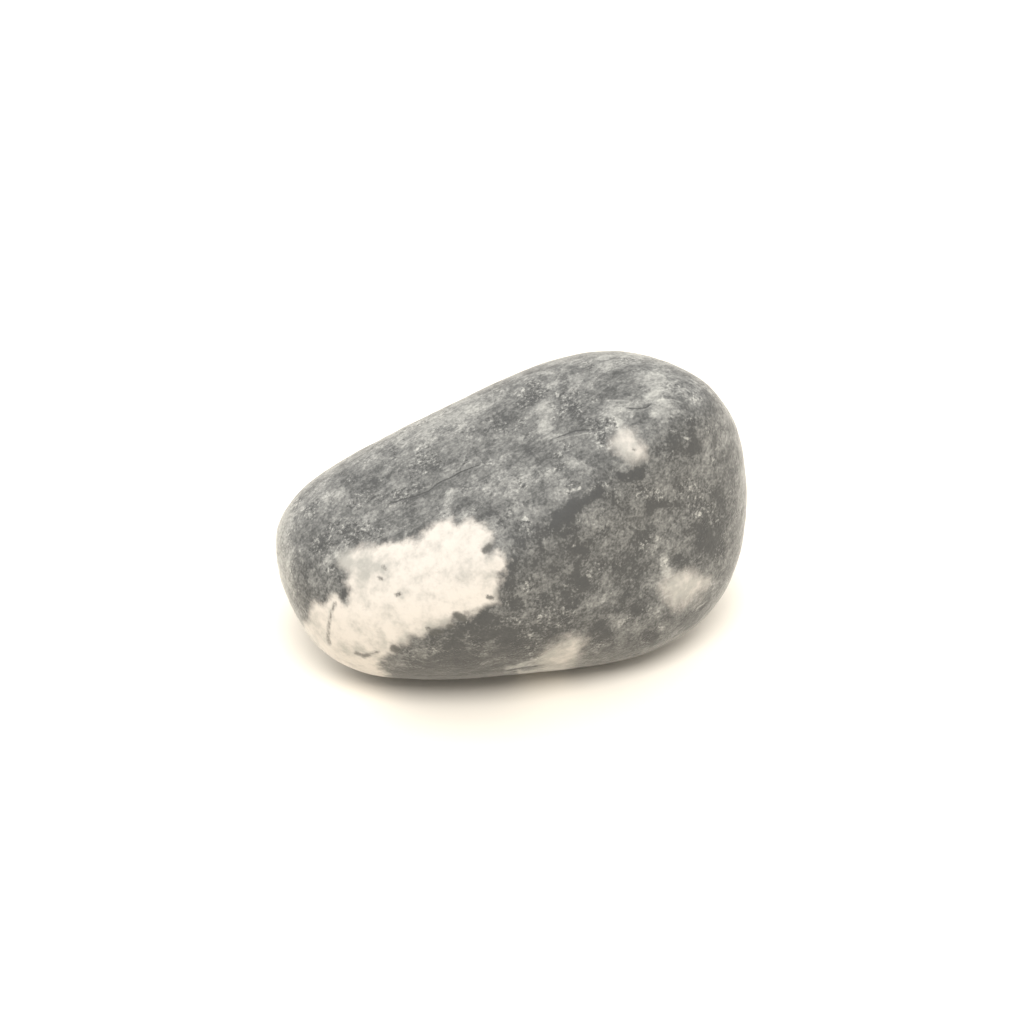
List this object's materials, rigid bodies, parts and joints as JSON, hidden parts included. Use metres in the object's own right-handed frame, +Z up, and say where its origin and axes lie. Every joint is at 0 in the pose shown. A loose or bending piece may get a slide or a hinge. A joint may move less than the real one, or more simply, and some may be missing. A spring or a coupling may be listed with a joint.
{
  "type": "river pebble",
  "caption": "Worn, wedge-shaped river pebble with a low blunt nose, a tall rounded end and a small flat underside to rest on.",
  "frame": {"origin": "middle of the stone's box in plan, at the flat underside that it rests on", "axes": "+X runs along the stone's length from its low nose to its tall end, -Y is its front, +Z is up from the surface it rests on"},
  "size_m": [0.06, 0.0464, 0.039],
  "materials": {
    "grey_stone": "dry, matt, water-worn stone: mottled grey with a few milky white patches"
  },
  "bodies": {
    "root": {"pebble": "grey_stone"}
  },
  "joints": []
}
